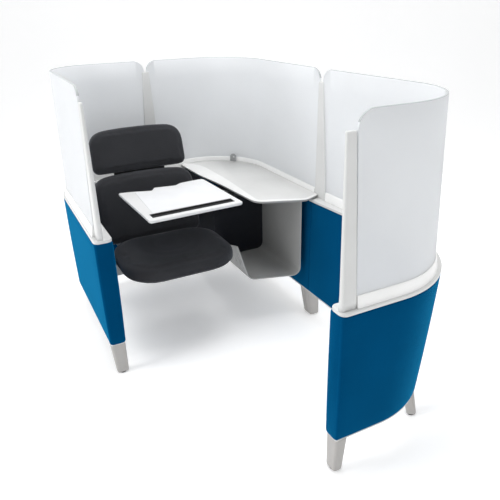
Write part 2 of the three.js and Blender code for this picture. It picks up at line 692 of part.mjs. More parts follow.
// The bag cradle is one bent sheet: a leaning side lip, a floor, a tall side and a flange on top.
function cradleSection(lipTop) {
  const { left, right, floor, lip, sheet, bend, flange } = CRADLE;
  const line = (inset) => {
    const turn = (x, start, sweepBy) => Array.from({ length: ROUND_STEPS + 1 }, (_, i) => {
      const angle = THREE.MathUtils.degToRad(start + sweepBy * i / ROUND_STEPS);
      const radius = bend - inset;
      return new THREE.Vector2(x + radius * Math.cos(angle), floor + bend + radius * Math.sin(angle));
    });
    return [
      new THREE.Vector2(left - lip.lean * (lipTop - floor) + inset, lipTop),
      ...turn(left + bend, 195, 75),
      ...turn(right - bend, 270, 90),
      new THREE.Vector2(right - inset, UNDER_WORKSURFACE - inset),
      new THREE.Vector2(right - flange, UNDER_WORKSURFACE - inset),
    ];
  };
  return [...line(0), ...line(sheet).reverse()];
}

function cradle() {
  const { left, right, rear, frontRise, lip } = CRADLE;
  const section = cradleSection(lip.front);
  const frontY = (x) => frontRise.from + (frontRise.to - frontRise.from) * (x - left) / (right - left);
  const front = section.map((p) => new THREE.Vector3(p.x, frontY(p.x), p.y));
  const back = cradleSection(lip.rear).map((p) => new THREE.Vector3(p.x, rear, p.y));
  const slots = CRADLE_SLOTS.starts.map((y) =>
    box([left - 75, left + 15], [y, y + CRADLE_SLOTS.width], [CRADLE_SLOTS.low, CRADLE_SLOTS.high]));
  return combine(loft([front, back], section), { cut: slots });
}

// The dark panel behind the cradle turns a corner and runs on to the rear wall.
function backPanel() {
  const { thickness, left, right, low, rear } = BACK_PANEL;
  const front = CRADLE.rear + 0.5;
  const z = [low, UNDER_WORKSURFACE];
  return combine(box([left, right], [front, front + thickness], z), {
    add: [box([left, left + thickness], [front, rear], z)],
  });
}

function cradleBolt() {
  const { washer, head } = CRADLE_BOLT;
  return combine(cylinderZ(washer.radius, -washer.thickness, 0), {
    add: [cylinderZ(head.radius, -washer.thickness - head.height, -washer.thickness + 0.1)],
  });
}

function buildWorksurface() {
  const { right, sheet } = CRADLE;
  place('worksurface', worksurface(), deskWhite);
  place('bag_cradle', cradle(), greySheet);
  place('cradle_back_panel', backPanel(), blackPanel);
  for (const [i, y] of CRADLE_BOLT.spots.entries()) {
    const bolt = cradleBolt().translate(right - CRADLE_BOLT.inset, y, UNDER_WORKSURFACE - sheet - GAP);
    place(`cradle_bolt_${i + 1}`, bolt, steel);
  }
  place('screen_clip', screenClip(), steel);
}

// A small upright tab with a hole, against the strip behind the worksurface.
function screenClip() {
  const { width, height, thickness, hole, holeX, behind, degrees } = CLIP;
  const radius = width / 2;
  const tab = new THREE.Shape();
  tab.moveTo(-radius, 0).lineTo(radius, 0).lineTo(radius, height - radius);
  tab.absarc(0, height - radius, radius, 0, Math.PI, false).lineTo(-radius, 0);
  tab.holes.push(new THREE.Path().absarc(holeX, height - radius, hole, 0, 2 * Math.PI, true));
  const plate = new THREE.ExtrudeGeometry(tab, {
    depth: thickness, bevelEnabled: false, curveSegments: ROUND_STEPS,
  });
  const angle = THREE.MathUtils.degToRad(degrees);
  const hub = SCREEN_HUBS.rearRight;
  const spotX = hub.x + (SCREEN_FOOT.right - behind - hub.x) * Math.cos(angle);
  const spotY = hub.y + (SCREEN_FOOT.rear - behind - hub.y) * Math.sin(angle);
  return plate.rotateX(Math.PI / 2).translate(0, thickness / 2, 0).rotateZ(angle - Math.PI / 2)
    .translate(spotX, spotY, WORKSURFACE.top + GAP);
}

// ---------- swing-out tablet ----------

function pivotPin() {
  const { low, high, head } = PIVOT_PIN;
  return combine(cylinderZ(PIVOT_RADIUS, low, high), {
    add: [cylinderZ(head.radius, high - 0.1, high + head.height)],
  });
}

function ringNut(low) {
  const high = ARM.bottom - 1;
  const hexagon = disc(NUT_RADIUS, 6);
  return combine(stack([[low, hexagon], [high, hexagon]]), {
    cut: [cylinderZ(PIVOT_RADIUS + 0.1, low - 1, high + 1)],
  });
}

function tabletMount() {
  const { low, plateX, plateY, neck, eye } = TABLET_MOUNT;
  const plate = box(plateX, plateY, [low, UNDER_WORKSURFACE]);
  const bar = box([0, plateX[0] + 10], [-neck / 2, neck / 2], [low, UNDER_WORKSURFACE]);
  const ring = cylinderZ(eye, low, UNDER_WORKSURFACE);
  const bore = cylinderZ(PIVOT_RADIUS + GAP, low - 1, UNDER_WORKSURFACE + 1);
  return combine(plate, { add: [bar, ring], cut: [bore] });
}

function tabletArm() {
  const { bottom, top, width, eye } = ARM;
  const reach = TABLET_CARRIER.clone().sub(TABLET_PIVOT);
  const bar = box([0, reach.length()], [-width / 2, width / 2], [bottom + 3, top - 3])
    .rotateZ(reach.angle());
  const ends = [new THREE.Vector2(), reach];
  const eyes = ends.map((p) => cylinderZ(eye, bottom, top).translate(p.x, p.y, 0));
  const bores = ends.map((p) =>
    cylinderZ(PIVOT_RADIUS + GAP, bottom - 1, top + 1).translate(p.x, p.y, 0));
  return combine(bar, { add: eyes, cut: bores });
}

// Two lugs round the tilt pin, at the given distance from the middle.
const tiltLugs = (distance, z) =>
  [-distance, distance].map((x) => box([x - 3, x + 3], [-TILT.lug, TILT.lug], z));

const tiltBore = () => cylinderX(TILT.pinRadius + GAP, 2 * TILT.length).translate(0, 0, TILT.axisZ);

// Turns on the arm's far end and carries the tilt pin between two ears.
function tiltBracket() {
  const low = ARM.top + 1;
  const base = cylinderZ(TILT.base, low, low + 9);
  const stud = cylinderZ(PIVOT_RADIUS, PIVOT_PIN.low + 4, low + 1);
  const foot = box([-TILT.ears, TILT.ears], [-TILT.lug, TILT.lug], [low, low + 7]);
  const ears = tiltLugs(TILT.ears, [low, TILT.axisZ + 7]);
  return combine(base, { add: [stud, foot, ...ears], cut: [tiltBore()] });
}

// The plate under the tray, with two lugs round the tilt pin.
function trayPlate() {
  const { low, width, depth } = TRAY_PLATE;
  const outline = roundedOutline(width, depth, 12);
  const lugs = tiltLugs(TILT.lugs, [TILT.axisZ - TILT.lug, low + 1]);
  return combine(stack([[low, outline], [TABLET.bottom - GAP, outline]]), {
    add: lugs, cut: [tiltBore()],
  });
}

function tray() {
  const { bottom, top } = TABLET;
  const shape = softPolygon(TRAY_CORNERS);
  const body = stack([
    [bottom, shrunk(shape, 7)], [bottom + 4, shrunk(shape, 1)], [top - 3, shape],
    [top, shrunk(shape, 2)],
  ]);
  const { length, width, depth, y } = SLOT;
  const pocket = box([-length / 2, length / 2], [y - width / 2, y + width / 2],
    [top - depth, top + 1]);
  return combine(body, { cut: [pocket] });
}

// A strip in the tray's pocket, grooved so that a phone or a tablet stands in it.
function slotLiner() {
  const { length, width, depth, y, groove } = SLOT;
  const x = length / 2 - GAP;
  const halfWidth = width / 2 - GAP;
  const body = box([-x, x], [y - halfWidth, y + halfWidth],
    [TABLET.top - depth + GAP, TABLET.top - 1]);
  const channel = box([groove.end - x, x - groove.end], [y - groove.width / 2, y + groove.width / 2],
    [TABLET.top - groove.depth, TABLET.top]);
  return combine(body, { cut: [channel] });
}

function buildTablet() {
  const still = new THREE.Group();
  still.position.set(TABLET_PIVOT.x, TABLET_PIVOT.y, 0);
  place('tablet_mount', tabletMount(), darkMetal, still);
  place('tablet_pivot_pin', pivotPin(), steel, still);
  place('tablet_pivot_nut', ringNut(PIVOT_PIN.low + 3), steel, still);
  place('tablet_arm', tabletArm(), darkMetal, still);
  const turning = new THREE.Group();
  turning.position.set(TABLET_CARRIER.x, TABLET_CARRIER.y, 0);
  turning.rotation.z = THREE.MathUtils.degToRad(TABLET.turn);
  place('tilt_bracket', tiltBracket(), darkMetal, turning);
  place('tilt_bracket_nut', ringNut(PIVOT_PIN.low + 6), steel, turning);
  place('tilt_pin', cylinderX(TILT.pinRadius, TILT.length).translate(0, 0, TILT.axisZ), steel, turning);
  place('tray_plate', trayPlate(), darkMetal, turning);
  place('tablet_tray', tray().translate(TABLET.offsetX, 0, 0), whiteTrim, turning);
  place('device_slot_liner', slotLiner().translate(TABLET.offsetX, 0, 0), blackRubber, turning);
  group.add(still, turning);
}

buildWall();
buildSeat();
buildWorksurface();
buildTablet();
group.position.y = CENTRING_Y;

export default group;
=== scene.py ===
# Looks of the study carrel: fabric, frosted screens, trim, cushions, floor, light and camera.
# Lengths in the plan below are millimetres, as in the CAD; meshes are metres in the row frame.

import json
import math

import bpy
import numpy as np
from mathutils import Matrix, Vector
from mathutils.bvhtree import BVHTree


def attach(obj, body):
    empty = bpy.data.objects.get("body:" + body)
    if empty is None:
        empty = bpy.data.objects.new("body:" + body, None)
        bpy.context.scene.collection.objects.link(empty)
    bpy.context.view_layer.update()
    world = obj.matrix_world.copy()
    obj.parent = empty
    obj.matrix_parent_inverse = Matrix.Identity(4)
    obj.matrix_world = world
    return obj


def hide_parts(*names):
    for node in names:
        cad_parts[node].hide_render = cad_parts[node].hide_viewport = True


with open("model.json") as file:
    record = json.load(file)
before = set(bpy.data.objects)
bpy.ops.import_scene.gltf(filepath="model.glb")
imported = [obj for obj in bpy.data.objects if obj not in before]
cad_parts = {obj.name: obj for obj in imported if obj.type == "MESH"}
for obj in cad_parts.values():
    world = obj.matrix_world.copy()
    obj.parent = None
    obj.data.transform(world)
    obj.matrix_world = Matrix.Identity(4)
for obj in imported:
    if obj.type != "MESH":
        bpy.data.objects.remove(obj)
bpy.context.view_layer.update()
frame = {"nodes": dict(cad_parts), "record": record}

NODES = frame["nodes"]
CENTRING_Y = 13.5
TO_ROW = Matrix.Translation((0, CENTRING_Y / 1000, 0)) @ Matrix.Scale(0.001, 4)

# ---------- sizes taken over from the CAD ----------

GAP = 0.3
FOOT_Z = 160
PANEL_TOP_Z = 649
RAIL_TOP_Z = 662
STRIP_TOP_Z = 704
POST_TOP_Z = 1209
SCREEN_TOP_Z = 1266

OUTER_TOP = {"left": -582, "right": 536, "rightFront": 582, "rear": 917, "front": -944}
OUTER_FOOT = {"left": -574, "right": 524, "rightFront": 524, "rear": 909, "front": -944}
INNER_TOP = {"left": -504, "right": 461, "rightFront": 504, "rear": 840, "front": -872}
INNER_FOOT = {"left": -504, "right": 454, "rightFront": 454, "rear": 838, "front": -876}
WALL_RADIUS = {"rearLeft": 240, "rearRight": 320, "frontRight": 376}
SCREEN_FOOT = {"left": -560, "right": 514, "rightFront": 537, "rear": 895, "front": -921}
SCREEN_HEAD = {"left": -551, "right": 499, "rightFront": 517, "rear": 887, "front": -898}
SCREEN_RADIUS = {"rearLeft": 235, "rearRight": 318, "frontRight": 334}

LEFT_END_Y = 0
FRONT_END_X = -40
REAR_JOINT_X = -40
RIGHT_JOINT_Y = 0
RUN_NAMES = ("left", "rear", "front")

SCREEN_HALF = 5
SCREEN_SLOT_DEPTH = 13
SCREEN_JOINT_CLEARANCE = {"rear": 5, "right": 11}
POST_FOOT = {"half": 45, "thickness": 24}
POST_HEAD = {"half": 21, "thickness": 15}
END_POST_FOOT = (3, 62)
END_POST_HEAD = (10, 46)

# Facets and points on curves.
STRAIGHT_STEPS = 6
ARC_STEPS = 28
QUARTER_STEPS = 5
CORNER_STEPS = 8
BEND_STEPS = 7
BEVEL_SEGMENTS = 2
PAD_RING_POINTS = 160
SEAM_POINTS = 240
WELT_SIDES = 8

# Cushions as cloth under pressure, in metres.
PAD_VOXEL = 0.006
PAD_PRESSURE = 4.0
PAD_SWELL = 0.006
PAD_FRAMES = 20
RELAX_ROUNDS = 6
RELAX_STEP, RELAX_BACK_STEP = 0.5, -0.51
WELT_LIFT = 0.35

NOISE_ROUGHNESS = 0.55

BACK_HINGE = Vector((-184, 490, 430))
BACK_LEAN = math.radians(16)
TABLET_CARRIER = Vector((-55, 245, 0))
TABLET_TURN = math.radians(2.5)

# ---------- node materials ----------


class Shader:
    """A Principled material with a few short calls for its procedural nodes."""

    def __init__(self, name, color, roughness, **sockets):
        self.material = bpy.data.materials.new(name)
        self.material.use_nodes = True
        self.tree = self.material.node_tree
        self.bsdf = self.tree.nodes["Principled BSDF"]
        self.bsdf.inputs["Base Color"].default_value = (*color, 1)
        self.bsdf.inputs["Roughness"].default_value = roughness
        for key, value in sockets.items():
            self.bsdf.inputs[key.replace("_", " ")].default_value = value
        self.coordinates = self.tree.nodes.new("ShaderNodeTexCoord")

    def node(self, kind, inputs=None, **settings):
        made = self.tree.nodes.new(kind)
        for key, value in settings.items():
            setattr(made, key, value)
        for key, value in (inputs or {}).items():
            if isinstance(value, bpy.types.NodeSocket):
                self.tree.links.new(value, made.inputs[key])
            else:
                made.inputs[key].default_value = value
        return made

    def math(self, operation, a, b=0.0):
        return self.node("ShaderNodeMath", {0: a, 1: b}, operation=operation).outputs[0]

    def noise(self, scale, detail, vector=None):
        where = vector or self.coordinates.outputs["Object"]
        inputs = {"Vector": where, "Scale": scale, "Detail": detail, "Roughness": NOISE_ROUGHNESS}
        return self.node("ShaderNodeTexNoise", inputs).outputs["Fac"]

    def ramp(self, factor, low, high, start=0.0, end=1.0):
        made = self.node("ShaderNodeValToRGB", {"Fac": factor})
        first, second = made.color_ramp.elements
        first.position, second.position = start, end
        first.color, second.color = (*low, 1), (*high, 1)
        return made.outputs["Color"]

    def blend(self, factor, a, b):
        made = self.node("ShaderNodeMix", {"Factor": factor}, data_type="RGBA")
        for socket, value in ((made.inputs[6], a), (made.inputs[7], b)):
            if isinstance(value, bpy.types.NodeSocket):
                self.tree.links.new(value, socket)
            else:
                socket.default_value = (*value, 1)
        return made.outputs[2]

    def color(self, socket):
        self.tree.links.new(socket, self.bsdf.inputs["Base Color"])

    def roughness(self, factor, low, high):
        spread = self.node("ShaderNodeMapRange", {"Value": factor, "To Min": low, "To Max": high})
        self.tree.links.new(spread.outputs[0], self.bsdf.inputs["Roughness"])

    def bump(self, height, strength, distance):
        inputs = {"Height": height, "Strength": strength, "Distance": distance}
        made = self.node("ShaderNodeBump", inputs)
        self.tree.links.new(made.outputs[0], self.bsdf.inputs["Normal"])


def shade(color, amount):
    return tuple(max(0.0, min(1.0, channel * amount)) for channel in color)


def plain_weave(shader, vector, threads):
    """Height of a plain weave, 0 in the gaps and 1 on top of a thread."""
    scaled = shader.node("ShaderNodeVectorMath", {0: vector, 1: (threads,) * 3},
                         operation="MULTIPLY")
    parts = shader.node("ShaderNodeSeparateXYZ", {0: scaled.outputs[0]}).outputs
    warp = shader.math("ABSOLUTE", shader.math("SINE", shader.math("MULTIPLY", parts[0], math.pi)))
    weft = shader.math("ABSOLUTE", shader.math("SINE", shader.math("MULTIPLY", parts[1], math.pi)))
    over = shader.node("ShaderNodeTexChecker", {"Vector": scaled.outputs[0], "Scale": 1.0})
    picked = shader.node("ShaderNodeMix", {"Factor": over.outputs["Fac"]}, data_type="FLOAT")
    shader.tree.links.new(warp, picked.inputs[2])
    shader.tree.links.new(weft, picked.inputs[3])
    return picked.outputs[0]


def wall_fabric():
    base = BLUE
    shader = Shader("wall_fabric", base, 0.9, Sheen_Weight=1.0, Sheen_Roughness=0.35,
                    Sheen_Tint=(0.03, 0.42, 0.78, 1), Specular_IOR_Level=0.0)
    cloth = shader.coordinates.outputs["UV"]
    weave = plain_weave(shader, cloth, 520)
    slub = shader.node("ShaderNodeTexNoise", {"Vector": shader.node(
        "ShaderNodeMapping", {"Vector": cloth, "Scale": (60, 420, 1)}).outputs[0],
        "Scale": 1.0, "Detail": 2.0}).outputs["Fac"]
    mottle = shader.noise(7, 2)
    thread = shader.ramp(weave, shade(base, 0.72), shade(base, 1.12))
    yarn = shader.ramp(slub, shade(base, 0.8), shade(base, 1.22), 0.3, 0.7)
    cloud = shader.ramp(mottle, shade(base, 0.9), shade(base, 1.08), 0.35, 0.65)
    shader.color(shader.blend(0.35, shader.blend(0.45, thread, yarn), cloud))
    shader.roughness(weave, 0.96, 0.82)
    shader.bump(shader.math("ADD", weave, slub), 0.35, 0.0006)
    return shader.material


def seat_fabric():
    base = CHARCOAL
    shader = Shader("seat_fabric", base, 0.9, Sheen_Weight=0.2, Sheen_Roughness=0.5,
                    Sheen_Tint=(0.75, 0.78, 0.85, 1), Specular_IOR_Level=0.2)
    where = shader.coordinates.outputs["Object"]
    knit = shader.node("ShaderNodeTexVoronoi",
                       {"Vector": where, "Scale": 430.0, "Randomness": 0.25})
    ribs = shader.node("ShaderNodeTexWave", {"Vector": where, "Scale": 130.0, "Distortion": 1.2,
                                             "Detail": 1.0, "Detail Scale": 3.0},
                       wave_type="BANDS", bands_direction="Z").outputs["Fac"]
    fleck = shader.noise(900, 2)
    mottle = shader.noise(9, 3)
    cell = shader.ramp(knit.outputs["Distance"], shade(base, 1.35), shade(base, 0.6), 0.1, 0.75)
    flecks = shader.ramp(fleck, shade(base, 0.7), shade(base, 1.6), 0.4, 0.66)
    cloud = shader.ramp(mottle, shade(base, 0.82), shade(base, 1.2), 0.35, 0.65)
    shader.color(shader.blend(0.35, shader.blend(0.4, cell, flecks), cloud))
    shader.roughness(mottle, 0.84, 0.96)
    shader.bump(shader.math("ADD", ribs, knit.outputs["Distance"]), 0.4, 0.0007)
    return shader.material


def moulded(name, color, roughness, grain=900, depth=0.00012, **sockets):
    """Moulded or painted surface: fine grain, faint clouding and slightly uneven gloss."""
    shader = Shader(name, color, roughness, **sockets)
    fine = shader.noise(grain, 2)
    cloud = shader.noise(5, 3)
    shader.color(shader.ramp(cloud, shade(color, 0.95), shade(color, 1.03), 0.3, 0.7))
    shader.roughness(shader.noise(38, 4), roughness - 0.06, roughness + 0.08)
    shader.bump(fine, 0.25, depth)
    return shader.material


def frosted():
    color = FROST
    shader = Shader("frosted_screen", color, 0.55, Transmission_Weight=0.3, IOR=1.2,
                    Specular_IOR_Level=0.35, Coat_Weight=0.05, Coat_Roughness=0.4)
    cloud = shader.noise(2.2, 2)
    shader.color(shader.ramp(cloud, shade(color, 0.97), shade(color, 1.02), 0.3, 0.7))
    shader.roughness(shader.noise(24, 3), 0.5, 0.62)
    shader.bump(shader.noise(1400, 2), 0.12, 0.00005)
    return shader.material


def brushed(name, color, roughness):
    shader = Shader(name, color, roughness, Metallic=1.0)
    stretched = shader.node("ShaderNodeMapping", {
        "Vector": shader.coordinates.outputs["Object"], "Scale": (90, 900, 900)}).outputs[0]
    lines = shader.noise(1, 3, stretched)
    shader.color(shader.ramp(lines, shade(color, 0.82), shade(color, 1.1), 0.35, 0.65))
    shader.roughness(lines, roughness - 0.08, roughness + 0.12)
    shader.bump(lines, 0.2, 0.0001)
    return shader.material


def worn_rubber(name, color):
    shader = Shader(name, color, 0.75, Specular_IOR_Level=0.35)
    scuff = shader.noise(60, 4)
    shader.color(shader.ramp(scuff, shade(color, 0.8), shade(color, 1.7), 0.35, 0.75))
    shader.roughness(scuff, 0.62, 0.88)
    shader.bump(shader.noise(700, 3), 0.3, 0.0002)
    return shader.material


BLUE = (0.0003, 0.059, 0.158)
CHARCOAL = (0.030, 0.0305, 0.034)
FROST = (0.875, 0.89, 0.905)

MATERIALS = {
    "blue_fabric": wall_fabric(),
    "charcoal_fabric": seat_fabric(),
    "white_trim": moulded("white_trim", (0.70, 0.703, 0.695), 0.42),
    "frosted_screen": frosted(),
    "leg_paint": moulded("leg_paint", (0.42, 0.405, 0.39), 0.45, grain=500, depth=0.0002),
    "desk_white": moulded("desk_white", (0.70, 0.70, 0.69), 0.5, grain=1500),
    "grey_sheet": moulded("grey_sheet", (0.42, 0.42, 0.41), 0.5, grain=700, depth=0.0002),
    "dark_metal": moulded("dark_metal", (0.025, 0.025, 0.027), 0.5, grain=700, depth=0.0002,
                          Metallic=0.4),
    "steel": brushed("steel", (0.55, 0.56, 0.57), 0.32),
    "black_rubber": worn_rubber("black_rubber", (0.012, 0.012, 0.013)),
    # black_panel: a near-black sheet behind the cradle and under the worksurface; its black is
    # partly a dark rear panel and partly painted shade for the deep shade there.
    "black_panel": moulded("black_panel", (0.008, 0.009, 0.014), 0.85, grain=600, depth=0.0003),
}
# Painted highlight: a paler copy of the desk white for the worksurface's sloping band and upper
# edge, where more light falls.
PAINTED_HIGHLIGHT_BAND = moulded("band_painted_highlight", (0.85, 0.85, 0.84), 0.45, grain=1500)
# Painted highlight: a brighter copy of the white trim for the screen strips, whose rounded tops
# catch the light.
STRIP_PAINTED_HIGHLIGHT = moulded("strip_painted_highlight", (0.96, 0.96, 0.95), 0.4, grain=1200)
SCREEN_EDGE = moulded("screen_edge", (0.48, 0.50, 0.51), 0.35, grain=1500)
# Painted shade: a grey copy of the desk white for the worksurface's side and under-bevel, which lie
# in shade.
BOARD_SIDE_PAINTED_SHADE = moulded("board_side_painted_shade", (0.36, 0.36, 0.36), 0.5, grain=1500)
TRAY_WHITE = moulded("tray_white", (0.83, 0.83, 0.83), 0.38, grain=1200)
# Painted light: a slightly lighter copy of the tray white on the middle of the tablet's top, for
# the light that falls there; the rim keeps the plain tray white.
MAT_PAINTED_LIGHT = moulded("mat_painted_light", (0.86, 0.865, 0.88), 0.55, grain=1800)

# ---------- meshes ----------


def finish_piece(name, mesh, material, body, replaced=(), to_row=TO_ROW, smooth=True):
    """Puts a mesh into the scene as a piece that rides on a CAD body."""
    mesh.transform(to_row)
    mesh.validate()
    mesh.update()
    piece = bpy.data.objects.new(name, mesh)
    bpy.context.scene.collection.objects.link(piece)
    mesh.materials.append(material)
    for polygon in mesh.polygons:
        polygon.use_smooth = smooth
    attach(piece, body)
    if replaced:
        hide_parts(*replaced)
    return piece


def outward_mesh(name, points, faces, uvs=None):
    mesh = bpy.data.meshes.new(name)
    mesh.from_pydata([tuple(p) for p in points], [], faces)
    if uvs is not None:
        layer = mesh.uv_layers.new(name="cloth")
        for loop in mesh.loops:
            layer.data[loop.index].uv = uvs[loop.vertex_index]
    mesh.update()
    volume = 0.0
    for polygon in mesh.polygons:
        corners = [mesh.vertices[i].co for i in polygon.vertices]
        for second, third in zip(corners[1:], corners[2:]):
            volume += corners[0].dot(second.cross(third))
    if volume < 0:
        mesh.flip_normals()
    return mesh


def loft(name, rows, uvs=None):
    """A closed solid through rows of points, with an end face on the first and the last row."""
    count = len(rows[0])
    points = [p for row in rows for p in row]
    faces = []
    for row in range(len(rows) - 1):
        for i in range(count):
            a, b = row * count + i, row * count + (i + 1) % count
            faces.append((a, b, b + count, a + count))
    last = (len(rows) - 1) * count
    faces.append(tuple(reversed(range(count))))
    faces.append(tuple(range(last, last + count)))
    return outward_mesh(name, points, faces, uvs)


def edge_bevel(piece, width, angle):
    """Rounds edges sharper than an angle in degrees, by a width in millimetres."""
    bevel = piece.modifiers.new("edges", "BEVEL")
    bevel.width = width / 1000
    bevel.segments = BEVEL_SEGMENTS
    bevel.limit_method = "ANGLE"
    bevel.angle_limit = math.radians(angle)
    bevel.harden_normals = True
    return piece


# ---------- the wall's plan ----------


def corner_hubs(sides, radius):
    return {
        "left": (sides["left"] + radius["rearLeft"], sides["rear"] - radius["rearLeft"]),
        "rear": (sides["right"] - radius["rearRight"], sides["rear"] - radius["rearRight"]),
        "front": (sides["rightFront"] - radius["frontRight"],
                  sides["front"] + radius["frontRight"]),
    }


TOP_HUBS = corner_hubs(OUTER_TOP, WALL_RADIUS)
FOOT_HUBS = corner_hubs(OUTER_FOOT, WALL_RADIUS)
SCREEN_HUBS = corner_hubs(SCREEN_FOOT, SCREEN_RADIUS)
ARC_START = {"left": 180, "rear": 90, "front": 0}


def outwards(sides, distance):
    sign = {"left": -1, "right": 1, "rightFront": 1, "rear": 1, "front": -1}
    return {key: value + sign[key] * distance for key, value in sides.items()}


def between(a, b, t):
    if isinstance(a, dict):
        return {key: between(a[key], b[key], t) for key in a}
    if isinstance(a, tuple):
        return tuple(between(first, second, t) for first, second in zip(a, b))
    return a + (b - a) * t


def run_ends(run, joint, end):
    return {
        "left": (LEFT_END_Y + end, REAR_JOINT_X - joint),
        "rear": (REAR_JOINT_X + joint, RIGHT_JOINT_Y + joint),
        "front": (RIGHT_JOINT_Y - joint, FRONT_END_X + end),
    }[run]


def plan_point(run, sides, hubs, ends, station):
    """A point of a run's line. Stations: (0, t) first straight, (1, t) corner, (2, t) second."""
    part, t = station
    hub = hubs[run]
    side_x = {"left": sides["left"], "rear": sides["right"], "front": sides["rightFront"]}[run]
    side_y = sides["front"] if run == "front" else sides["rear"]
    angle = math.radians(ARC_START[run] - 90 * (t if part == 1 else part / 2))
    on_arc = (hub[0] + abs(side_x - hub[0]) * math.cos(angle),
              hub[1] + abs(side_y - hub[1]) * math.sin(angle))
    if part == 1:
        return on_arc
    if part == 0:
        slant = (sides["rightFront"] - sides["right"]) / (RIGHT_JOINT_Y - hubs["front"][1])
        slanted_x = sides["right"] + slant * (RIGHT_JOINT_Y - ends[0])
        start = {"left": (sides["left"], ends[0]), "rear": (ends[0], sides["rear"]),
                 "front": (slanted_x, ends[0])}[run]
        return between(start, on_arc, t)
    finish = {"left": (ends[1], sides["rear"]), "rear": (sides["right"], ends[1]),
              "front": (ends[1], sides["front"])}[run]
    return between(on_arc, finish, t)


def stations(run, ends, hubs, start_round, end_round, corner=6):
    """Stations along a run with how far its faces draw in there, to round its plan at the ends."""
    hub = hubs[run]
    along = 1 if run in ("left", "front") else 0
    first_length = abs(hub[along] - ends[0])
    second_length = abs(hub[1 - along] - ends[1])

    def rounding(radius):
        steps = [math.radians(90 * i / corner) for i in range(corner + 1)] if radius else []
        return [(radius * (1 - math.cos(a)), radius * (1 - math.sin(a))) for a in steps]

    listed = [((0, distance / first_length), inset) for distance, inset in rounding(start_round)]
    begin = start_round / first_length
    listed += [((0, begin + (1 - begin) * i / STRAIGHT_STEPS), 0)
               for i in range(1 if listed else 0, STRAIGHT_STEPS)]
    listed += [((1, i / ARC_STEPS), 0) for i in range(ARC_STEPS)]
    finish = 1 - end_round / second_length
    listed += [((2, finish * i / STRAIGHT_STEPS), 0)
               for i in range(STRAIGHT_STEPS + (0 if end_round else 1))]
    listed += [((2, 1 - distance / second_length), inset)
               for distance, inset in reversed(rounding(end_round))]
    return listed


def sweep(name, run, section, ends, hubs, start_round=0, end_round=0):
    """section(inset) gives [(sides, hubs, z), ...] round the piece. Returns mesh with cloth UVs."""
    rows = []
    uvs = []
    travelled = 0.0
    previous = None
    for station, inset in stations(run, ends, hubs, start_round, end_round):
        row = []
        for sides, line_hubs, z in section(inset):
            x, y = plan_point(run, sides, line_hubs, ends, station)
            row.append(Vector((x, y, z)))
        middle = sum(row, Vector()) / len(row)
        if previous is not None:
            travelled += (middle - previous).length
        previous = middle
        rows.append(row)
        girth = 0.0
        for i, point in enumerate(row):
            if i:
                girth += (point - row[i - 1]).length
            uvs.append((travelled / 1000, girth / 1000))
    return loft(name, rows, uvs)


# ---------- wall pieces ----------


def panel_line(outer, height):
    """The panel's face at a height: a straight blend between its foot and its top."""
    t = (height - FOOT_Z) / (PANEL_TOP_Z - FOOT_Z)
    foot, top = (OUTER_FOOT, OUTER_TOP) if outer else (INNER_FOOT, INNER_TOP)
    return between(foot, top, t), between(FOOT_HUBS, TOP_HUBS, t)


def quarter():
    return [math.radians(90 * i / QUARTER_STEPS) for i in range(QUARTER_STEPS + 1)]


def fabric_panel(run):
    """An upholstered panel: soft edges all round and a slight swell of the padding."""
    low, high, radius, swell = FOOT_Z + 4, PANEL_TOP_Z, 9, 2.0

    def section(inset):
        profile = []
        for angle in quarter():
            profile.append((radius * (1 - math.sin(angle)), low + radius * (1 - math.cos(angle))))
        for i in range(1, 10):
            z = low + radius + (high - low - 2 * radius) * i / 10
            profile.append((-swell * math.sin(math.pi * i / 10), z))
        for angle in reversed(quarter()):
            profile.append((radius * (1 - math.sin(angle)), high - radius * (1 - math.cos(angle))))
        points = []
        for outer, listed in ((True, profile), (False, reversed(profile))):
            for draw_in, z in listed:
                sides, hubs = panel_line(outer, z)
                total = draw_in + inset
                points.append((outwards(sides, -total if outer else total), hubs, z))
        return points

    open_start = 10 if run == "left" else 4
    open_end = 10 if run == "front" else 4
    ends = run_ends(run, 0.4, 0)
    mesh = sweep(f"fabric_{run}", run, section, ends, TOP_HUBS, open_start, open_end)
    return finish_piece(f"fabric_{run}", mesh, MATERIALS["blue_fabric"], "frame",
                        [f"panel_{run}"])


def base_trim(run):
    """The pale strip under the fabric."""
    def section(inset):
        points = []
        for outer, levels in ((True, (FOOT_Z, FOOT_Z + 4.6)), (False, (FOOT_Z + 4.6, FOOT_Z))):
            for z in levels:
                sides, hubs = panel_line(outer, z)
                total = 2.5 + inset
                points.append((outwards(sides, -total if outer else total), hubs, z))
        return points

    open_start = 8 if run == "left" else 0
    open_end = 8 if run == "front" else 0
    mesh = sweep(f"base_trim_{run}", run, section, run_ends(run, 1.5, 2), TOP_HUBS, open_start,
                 open_end)
    return finish_piece(f"base_trim_{run}", mesh, MATERIALS["white_trim"], "frame",
                        smooth=False)


def cap_rail(run):
    """The flat rail: a thin lip over the fabric and softly rounded upper edges."""
    low = PANEL_TOP_Z + GAP

    def section(inset):
        edge = 3.5
        profile = [(0.8, low), (0, low + 0.8), (0, RAIL_TOP_Z - edge)]
        profile += [(edge * (1 - math.cos(a)), RAIL_TOP_Z - edge * (1 - math.sin(a)))
                    for a in quarter()[1:]]
        points = [(outwards(OUTER_TOP, -d - inset), TOP_HUBS, z) for d, z in profile]
        points += [(outwards(INNER_TOP, d + inset), TOP_HUBS, z) for d, z in reversed(profile)]
        return points

    open_start = 22 if run == "left" else 0
    open_end = 22 if run == "front" else 0
    mesh = sweep(f"rail_{run}", run, section, run_ends(run, 0.7, 0), TOP_HUBS, open_start, open_end)
    piece = finish_piece(f"rail_{run}", mesh, MATERIALS["white_trim"], "frame",
                         [f"cap_rail_{run}"])
    return edge_bevel(piece, 0.4, 50)


